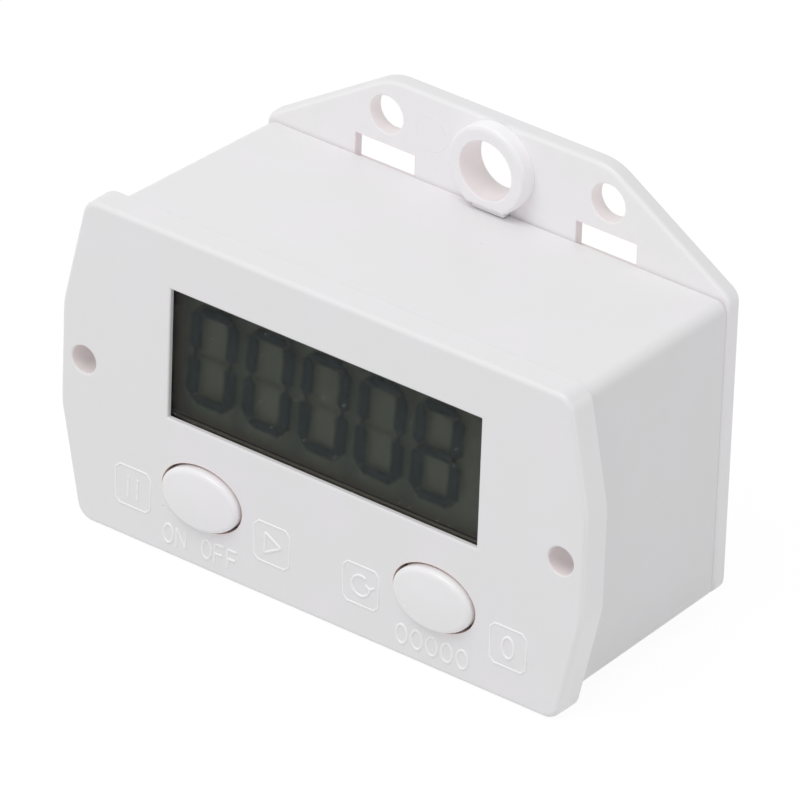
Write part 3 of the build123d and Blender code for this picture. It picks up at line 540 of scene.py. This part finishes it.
def circuit_board():
    """Green solder mask over raised tracks."""
    material, tree = empty_material("circuit_board")
    place = position(tree)
    cells = add(
        tree,
        "ShaderNodeTexBrick",
        {"Scale": 1.0, "Mortar Size": track_gap * MM, "Brick Width": track_length * MM,
         "Row Height": track_height * MM,
         "Color1": (1, 1, 1, 1), "Color2": (0.7, 0.7, 0.7, 1), "Mortar": (0, 0, 0, 1)},
        {"Vector": front_place(tree, axes_of(tree, place))},
    )
    tracks = cells.outputs["Color"]
    weave = noise(tree, mask_weave, detail=3.0, place=place)
    principled(
        tree,
        {"Coat Weight": 0.4, "Coat Roughness": 0.2},
        {
            "Base Color": shades(tree, tracks, (0.012, 0.10, 0.035), (0.03, 0.19, 0.075), (0.1, 0.6)),
            "Roughness": varied(tree, weave, 0.28, 0.45),
            "Normal": bump(tree, weave, mask_depth, bump(tree, tracks, track_depth)),
        },
    )
    return material


jacket_ends = (-23.3, 25.8)
sign_long, sign_thin = 1.3, 0.35
plus_x, minus_x = 19.5, -18.5
jacket_grain = 1.2


def cell_jacket():
    """A printed jacket in two plain colours, with its polarity marks."""
    material, tree = empty_material("cell_jacket")
    place = position(tree)
    start, end = jacket_ends
    tone = ramp(
        tree,
        between(tree, axes_of(tree, place)["X"], start * MM, end * MM, 0.0, 1.0),
        [(0.0, (0.03, 0.05, 0.09)), (0.68, (0.45, 0.25, 0.08)), (0.70, (0.55, 0.33, 0.12))],
        "CONSTANT",
    )
    low, high = corners("battery_cell")
    axis = (low.z + high.z) / 2
    for x, half_x, half_z in (
        (plus_x, sign_long, sign_thin), (plus_x, sign_thin, sign_long), (minus_x, sign_long, sign_thin),
    ):
        stroke = inside(tree, place, x, axis, half_x, half_z, square=True)
        tone = tinted(tree, tone, stroke, (0.75, 0.75, 0.72), "MIX")
    grain = noise(tree, jacket_grain, detail=3.0, place=place)
    principled(
        tree,
        {"Metallic": 0.55, "Coat Weight": 0.6, "Coat Roughness": 0.15},
        {
            "Base Color": tone,
            "Roughness": varied(tree, grain, 0.22, 0.36),
            "Normal": bump(tree, grain, 0.0015),
        },
    )
    return material


white = (0.862, 0.850, 0.850)
lilac = (1.0, 0.985, 1.006)
# Painted warm shade and glow for walls inside holes and slots, for light that has passed through the plastic.
painted_warm_shade, painted_warm_light, painted_deep_warm_shade = (1.0, 0.945, 0.935), (1.04, 0.987, 0.979), (0.95, 0.886, 0.886)
painted_warm_glow = (1.13, 1.0, 0.95)
# Each hollow is its middle, its half sizes, True if its sides are straight, and its tint, which is painted
# warm shade or glow on its walls.
ear_hole, key_hole, boss_bore, bracket_hole = (1.7, 1.7), (5.65, 4.0), (3.55, 3.55), (2.3, 2.3)
strap_slot = (4.17, 1.67, True)
boss_spot = (0.0, 43.75)
front_hollows = [
    (-32.7, MID_Z, *ear_hole, painted_warm_shade), (32.7, MID_Z, *ear_hole, painted_warm_shade),
    (-15.8, 8.95, *key_hole, painted_warm_glow), (16.2, 8.95, *key_hole, painted_warm_glow),
]
bracket_hollows = [
    (*boss_spot, *boss_bore, painted_warm_light),
    (-15.15, 44.5, *bracket_hole, painted_warm_light), (15.15, 44.5, *bracket_hole, painted_warm_light),
    (-15.15, 39.265, *strap_slot, painted_deep_warm_shade), (15.15, 39.265, *strap_slot, painted_deep_warm_shade),
]
shell = {"rough": 0.34, "grain": 0.22, "grain_depth": 0.0012, "swing": 0.006, "hint": lilac, "specks": 0.35}
# The housing gets painted light on the flange's outer sides, a faint painted shade on faces that point up,
# and painted warm tints in its ear and key holes.
case_white = plastic(
    "case_white", white, **shell, painted_rim_light=(32.6, 1.1), painted_top_shade=0.985, hollows=front_hollows, hollow_back=-11.55
)
# The cover's white is a lighter copy of the housing's white, which is painted light on the bracket's front.
# Its painted top shade darkens faces that point up, its boss gets painted light on the flanks, its holes and
# slots painted warm tints, and a painted seam shade lies above the seam.
cover_white = plastic(
    "cover_white", scaled(white, 1.095), **shell, painted_top_shade=0.87, painted_light_boss=(*boss_spot, 3.65, 5.75, 14.57, 1.06),
    hollows=bracket_hollows, painted_seam_shade=(38.25, BRACKET_Y, (0.91, 0.895, 0.898)),
)
key_white = plastic(
    "key_white", scaled(white, 1.055), rough=0.24, grain=0.3, grain_depth=0.0006, swing=0.005, hint=lilac
)

# Each row is a name, a colour, the roughness, the grain's size and depth, and the swing.
plain_rows = [
    # The marks' white is lighter than the face's: a painted highlight on the raised marks.
    ("painted_highlight_white", scaled(white, 1.11), 0.3, 0.2, 0.001, 0.006),
    ("frame_black", (0.018, 0.018, 0.019), 0.5, 0.15, 0.004, 0.1),
    ("switch_black", (0.022, 0.022, 0.024), 0.42, 0.12, 0.003, 0.1),
    ("chip_black", (0.03, 0.03, 0.032), 0.55, 0.1, 0.004, 0.12),
    ("resin_black", (0.012, 0.012, 0.013), 0.12, 1.2, 0.02, 0.1),
    ("sleeve_blue", (0.04, 0.05, 0.13), 0.25, 0.5, 0.01, 0.08),
    ("tan_ceramic", (0.5, 0.34, 0.19), 0.4, 0.12, 0.004, 0.08),
    ("seal_resin", (0.17, 0.148, 0.124), 0.4, 0.2, 0.003, 0.06),
    ("red_rubber", (0.5, 0.03, 0.025), 0.45, 0.15, 0.004, 0.06),
    ("black_rubber", (0.02, 0.02, 0.02), 0.5, 0.15, 0.004, 0.1),
]
plain = {row[0]: plastic(*row) for row in plain_rows}

plated = metal("plated", (0.76, 0.75, 0.73), rough=0.22)
screw_zinc = metal("screw_zinc", (0.40, 0.40, 0.41), rough=0.32, scratch=0.09, scratch_depth=0.002)
gilt_spring = metal(
    "gilt_spring", (0.80, 0.62, 0.34), rough=0.3, brushed=(1.0, 1.0, 0.15), scratch_depth=0.0005
)
can_metal = metal("can_metal", (0.70, 0.70, 0.70), rough=0.3, brushed=(0.2, 1.0, 1.0))
lens_sheet = clear("lens_sheet", (0.97, 0.97, 0.965), gloss=0.012, rough=0.06, dust=0.9)
polariser_film = clear("polariser_film", (0.93, 0.945, 0.915), gloss=0.004, rough=0.25)
cell_glass = clear("cell_glass", (0.97, 0.98, 0.97), gloss=0.003, rough=0.1)

finishes = {
    case_white: ["front_housing"],
    cover_white: ["rear_cover", "battery_door"],
    key_white: ["pause_key_cap", "reset_key_cap"],
    lens_sheet: ["window_lens"],
    reflector_film(): ["display_reflector"],
    plain["frame_black"]: ["display_frame"],
    striped_rubber(): ["upper_contact_strip", "lower_contact_strip"],
    circuit_board(): ["main_board"],
    plain["resin_black"]: ["counter_chip"],
    plain["chip_black"]: ["chip_resistors"],
    plain["switch_black"]: [
        "pause_switch_base", "reset_switch_base", "pause_switch_plunger", "reset_switch_plunger",
        "socket_body",
    ],
    plated: [
        "pause_switch_cover", "reset_switch_cover", "switch_terminals", "socket_collar",
        "battery_positive_cap",
    ],
    can_metal: ["timing_crystal"],
    plain["sleeve_blue"]: ["smoothing_capacitor"],
    plain["tan_ceramic"]: ["ceramic_capacitors"],
    screw_zinc: ["board_screws", "cover_screws"],
    gilt_spring: ["socket_springs", "positive_contact", "negative_contact"],
    cell_jacket(): ["battery_cell"],
    plain["red_rubber"]: ["positive_lead"],
    plain["black_rubber"]: ["negative_lead"],
}
for material, names in finishes.items():
    for name in names:
        for material_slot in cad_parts[name].material_slots:
            material_slot.material = material

# Floor, surroundings and lamp

floor_size, floor_drop, floor_mottle = 6.0, 0.1, 14.0
daylight = (0.985, 0.998, 1.0)

floor_material, tree = empty_material("floor_white")
greys = shades(tree, noise(tree, floor_mottle), (0.79, 0.79, 0.79), (0.81, 0.81, 0.81))
paper = add(tree, "ShaderNodeBsdfDiffuse", links={"Color": greys})
faint = add(tree, "ShaderNodeBsdfDiffuse", {"Color": (0.07, 0.07, 0.07, 1.0)})
glow = add(tree, "ShaderNodeEmission", {"Color": (1, 1, 1, 1), "Strength": 0.945})
bright = add(tree, "ShaderNodeAddShader", links={0: glow.outputs["Emission"], 1: faint.outputs["BSDF"]})
finish_material(tree, mixed(tree, seen_directly(tree), paper.outputs["BSDF"], bright.outputs["Shader"]))

bpy.ops.mesh.primitive_plane_add(size=floor_size, location=(0, 0, -floor_drop * MM))
floor = bpy.context.object
floor.name = "floor"
floor.data.materials.append(floor_material)

world = bpy.data.worlds.new("surroundings")
scene.world = world
world.use_nodes = True
tree = world.node_tree
tree.nodes.clear()
soft = add(tree, "ShaderNodeBackground", {"Color": (*daylight, 1.0), "Strength": 0.63})
seen = add(tree, "ShaderNodeBackground", {"Color": (1, 1, 1, 1), "Strength": 1.0})
sky = mixed(tree, seen_directly(tree), soft.outputs["Background"], seen.outputs["Background"])
add(tree, "ShaderNodeOutputWorld", links={"Surface": sky})

lamp_place = Vector((-0.12, -0.50, 1.05))
lamp_aim = Vector((0, 0, 0.02))
lamp_data = bpy.data.lights.new("top_softbox", "AREA")
lamp_data.shape = "SQUARE"
lamp_data.size = 0.7
lamp_data.energy = 5.0
lamp_data.color = daylight
lamp = bpy.data.objects.new("top_softbox", lamp_data)
lamp.location = lamp_place
lamp.rotation_mode = "QUATERNION"
lamp.rotation_quaternion = (lamp_aim - lamp_place).to_track_quat("-Z", "Y")
lamp.visible_camera = False
scene.collection.objects.link(lamp)

# Piece helpers


def link_piece(name, data, material, body):
    """A piece from a mesh or curve, riding on a body."""
    data.materials.append(material)
    piece = bpy.data.objects.new(name, data)
    scene.collection.objects.link(piece)
    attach(piece, body)
    return piece


def link_mesh(name, points, faces, material, body):
    """A mesh piece from points in millimetres."""
    mesh = bpy.data.meshes.new(name)
    mesh.from_pydata([Vector(point) * MM for point in points], [], faces)
    mesh.update()
    return link_piece(name, mesh, material, body)


def ridge_curve(name, lines, depth, radius, material, body):
    """Raised rounded lines: each line is a list of (x, height) points in millimetres."""
    curve = bpy.data.curves.new(name, "CURVE")
    curve.dimensions = "3D"
    curve.bevel_depth = radius * MM
    curve.bevel_resolution = 3
    curve.use_fill_caps = True
    for line in lines:
        spline = curve.splines.new("POLY")
        closed = line[0] == line[-1]
        spots = line[:-1] if closed else line
        spline.points.add(len(spots) - 1)
        for point, (x, z) in zip(spline.points, spots):
            point.co = (x * MM, depth * MM, z * MM, 1.0)
        spline.use_cyclic_u = closed
    link_piece(name, curve, material, body)


# Display cell: film, two glasses and the seal between them as one stepped body

seal_inset = 0.3
film_inset = 0.2
film_margin = 0.01
ground_edge = 0.04

film_low, film_high = corners("display_polariser")
front_low, front_high = corners("display_front_glass")
rear_low, rear_high = corners("display_rear_glass")
profile = [
    (film_low.y, film_low.z + film_inset), (film_low.y, film_high.z - film_inset),
    (front_low.y, film_high.z - film_inset), (front_low.y, front_high.z), (front_high.y, front_high.z),
    (front_high.y, rear_high.z - seal_inset), (rear_low.y, rear_high.z - seal_inset),
    (rear_low.y, rear_high.z), (rear_high.y, rear_high.z), (rear_high.y, rear_low.z),
    (rear_low.y, rear_low.z), (rear_low.y, rear_low.z + seal_inset),
    (front_high.y, rear_low.z + seal_inset), (front_high.y, front_low.z), (front_low.y, front_low.z),
    (front_low.y, film_low.z + film_inset),
]
count = len(profile)
points = [(x, y, z) for x in (front_low.x, front_high.x) for y, z in profile]
faces = [tuple(range(count)), tuple(range(2 * count - 1, count - 1, -1))]
faces += [(step, step + count, (step + 1) % count + count, (step + 1) % count) for step in range(count)]
glasses = link_mesh("display_cell", points, faces, cell_glass, "case")
glasses.data.materials.append(polariser_film)
film_back = (front_low.y + film_margin) * MM
for face in glasses.data.polygons:
    face.material_index = int(all(glasses.data.vertices[spot].co.y < film_back for spot in face.vertices))
bevel = glasses.modifiers.new("ground_edges", "BEVEL")
bevel.width = ground_edge * MM
bevel.segments = 2
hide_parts("display_polariser", "display_front_glass", "display_rear_glass")

# Display digits

digit_width, digit_height = 6.35, 12.3
upright_width, level_width = 1.35, 1.05
digit_lean = radians(3.3)
segment_gap = 0.28
soft_edge = 0.5
tip_reach = 1.2
group_z = 5.43
unlit_ink = 0.25
front_gap = 0.02
layer_step = 0.008
bar_sides = 6

segment_y = corners("display_segments")[0].y + front_gap
half_x = (digit_width - upright_width) / 2
half_z = (digit_height - level_width) / 2
corner = {
    "tl": (-half_x, half_z), "tr": (half_x, half_z), "ml": (-half_x, 0.0), "mr": (half_x, 0.0),
    "bl": (-half_x, -half_z), "br": (half_x, -half_z),
}
# The middle bar comes last: only the last digit lights it.
bars = [
    ("tl", "tr", level_width), ("bl", "br", level_width), ("tl", "ml", upright_width),
    ("ml", "bl", upright_width), ("tr", "mr", upright_width), ("mr", "br", upright_width),
    ("ml", "mr", level_width),
]


def bar_ring(start, end, width, grow):
    """The six corners of a pointed bar, moved outward by grow."""
    along = Vector(end) - Vector(start)
    length = along.length
    along.normalize()
    side = Vector((-along.y, along.x))
    half = width / 2 + grow
    tip = segment_gap - grow * tip_reach
    steps = [(tip, 0), (tip + half, half), (length - tip - half, half), (length - tip, 0),
             (length - tip - half, -half), (tip + half, -half)]
    return [Vector(start) + along * u + side * v for u, v in steps]


points, faces, ink = [], [], []
for digit in range(digit_count):
    shift = (digit - digit_count // 2) * digit_pitch
    for index, (start, end, width) in enumerate(bars):
        lit = digit == digit_count - 1 or index < len(bars) - 1
        depth = segment_y + layer_step * index
        first = len(points)
        for grow, level in ((soft_edge, 0.0), (-soft_edge, 1.0 if lit else unlit_ink)):
            for spot in bar_ring(corner[start], corner[end], width, grow):
                x = group_x + shift + spot.x + spot.y * sin(digit_lean)
                points.append((x, depth, MID_Z + group_z + spot.y * cos(digit_lean)))
                ink.append(level)
        inner = first + bar_sides
        for step in range(bar_sides):
            after = (step + 1) % bar_sides
            faces.append((first + step, first + after, inner + after, inner + step))
        faces.append(tuple(inner + step for step in range(bar_sides)))
digits = link_mesh("display_digits", points, faces, crystal_ink(), "case")
digits.data.attributes.new("ink", "FLOAT", "POINT").data.foreach_set("value", ink)
digits.visible_shadow = False
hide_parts("display_segments")

# Raised marks on the face

stroke_radius, frame_radius = 0.17, 0.13
mark_sink = 0.04
arc_steps, ring_steps, corner_steps = 24, 28, 4
full_turn = 360
corner_cut = 0.3
letter_share, short_share = 0.72, 0.15
foot_drop, head_drop = 18.3, 16.0
word_low, word_high = MID_Z - foot_drop, MID_Z - head_drop
word_sides = {"ON OFF": (-21.2, -10.5), "00000": (11.0, 21.3)}
sign_half, cut_share = 2.45, 0.25
sign_cut = sign_half * cut_share
sign_spots = {"bars": (-25.4, -13.4), "triangle": (-6.0, -13.1), "arrow": (6.3, -13.4), "zero": (26.3, -13.3)}
bar_offset, bar_half = 0.65, 1.25
triangle = [(-0.95, -1.3), (1.3, 0.0), (-0.95, 1.3)]
arrow_radius, arrow_start = 1.25, 60
arrow_head = [(0.62, 0.35), (1.25, -0.1), (1.85, 0.4)]
zero_half_x, zero_half_z = 0.8, 1.3


def arc(x, z, radius_x, radius_z, start, end, steps):
    """Points along part of an ellipse, angles in degrees."""
    spots = []
    for step in range(steps + 1):
        angle = radians(start + (end - start) * step / steps)
        spots.append((x + radius_x * cos(angle), z + radius_z * sin(angle)))
    return spots


def ring_line(x, z, radius_x, radius_z):
    """A closed ellipse."""
    spots = arc(x, z, radius_x, radius_z, 0, full_turn, ring_steps)[:-1]
    return spots + [spots[0]]


def softened(line):
    """The line with its sharp corners rounded."""
    closed = line[0] == line[-1]
    spots = [Vector(spot) for spot in (line[:-1] if closed else line)]
    result = []
    for index, spot in enumerate(spots):
        if not closed and index in (0, len(spots) - 1):
            result.append(tuple(spot))
            continue
        before = spots[index - 1] - spot
        after = spots[(index + 1) % len(spots)] - spot
        start = spot + before.normalized() * min(corner_cut, before.length / 2)
        end = spot + after.normalized() * min(corner_cut, after.length / 2)
        for step in range(corner_steps + 1):
            share = step / corner_steps
            result.append(tuple(start * (1 - share) ** 2 + spot * 2 * share * (1 - share) + end * share ** 2))
    return result + result[:1] if closed else result


def word(text, left, right):
    """Plain stroke letters fitted between two sides."""
    pitch = (right - left) / len(text)
    width = pitch * letter_share
    middle = (word_low + word_high) / 2
    lines = []
    for index, letter in enumerate(text):
        x0 = left + pitch * (index + 0.5) - width / 2
        x1 = x0 + width
        if letter in "O0":
            lines.append(ring_line((x0 + x1) / 2, middle, width / 2, (word_high - word_low) / 2))
        elif letter == "N":
            lines.append(softened([(x0, word_low), (x0, word_high), (x1, word_low), (x1, word_high)]))
        elif letter == "F":
            lines.append(softened([(x0, word_low), (x0, word_high), (x1, word_high)]))
            lines.append([(x0, middle), (x1 - width * short_share, middle)])
    return lines


def sign_frame(x, z):
    """A closed square with clipped corners."""
    near, far = sign_half - sign_cut, sign_half
    spots = [(-near, -far), (near, -far), (far, -near), (far, near), (near, far), (-near, far), (-far, near),
             (-far, -near)]
    return [(x + u, z + v) for u, v in spots + spots[:1]]


def sign(kind, x, z):
    """The strokes of one sign about its middle."""
    if kind == "bars":
        return [[(x + side, z - bar_half), (x + side, z + bar_half)] for side in (-bar_offset, bar_offset)]
    if kind == "triangle":
        return [softened([(x + u, z + v) for u, v in triangle + triangle[:1]])]
    if kind == "arrow":
        bow = arc(x, z, arrow_radius, arrow_radius, arrow_start, full_turn, arc_steps)
        return [bow, softened([(x + u, z + v) for u, v in arrow_head])]
    return [ring_line(x, z, zero_half_x, zero_half_z)]


face_lines, frame_lines = [], []
for text, (left, right) in word_sides.items():
    face_lines += word(text, left, right)
for kind, (x, height) in sign_spots.items():
    face_lines += sign(kind, x, MID_Z + height)
    frame_lines.append(sign_frame(x, MID_Z + height))
mark_y = FACE_Y + mark_sink
ridge_curve("face_marks", face_lines, mark_y, stroke_radius, plain["painted_highlight_white"], "case")
ridge_curve("mark_frames", frame_lines, mark_y, frame_radius, plain["painted_highlight_white"], "case")

# The bead that seals the rear glass, above the lower contact strip

bead_end, bead_drop, bead_depth, bead_radius = 0.4, 0.1, 0.12, 0.16
bead_y, bead_z = rear_low.y + bead_depth, rear_low.z - bead_drop
bead_line = [(rear_low.x + bead_end, bead_z), (rear_high.x - bead_end, bead_z)]
ridge_curve("glass_seal", [bead_line], bead_y, bead_radius, plain["seal_resin"], "case")

# Mould marks on the bracket: the ring of an ejector pin, and the torn gate on its top edge

ejector_x, ejector_z, ejector_radius = -8.98, 44.31, 2.1
ring_depth, ring_radius = 0.1, 0.13
gate_lines = [[(-0.5, 48.9), (0.3, 48.9)], [(0.5, 48.88), (1.0, 48.86)]]
gate_depth, gate_radius = 0.22, 0.11
ejector_line = ring_line(ejector_x, ejector_z, ejector_radius, ejector_radius)
ridge_curve(
    "ejector_ring", [ejector_line], BRACKET_Y + ring_depth, ring_radius, cover_white, "case"
)
ridge_curve(
    "gate_mark", gate_lines, BRACKET_Y + gate_depth, gate_radius, cover_white, "case"
)
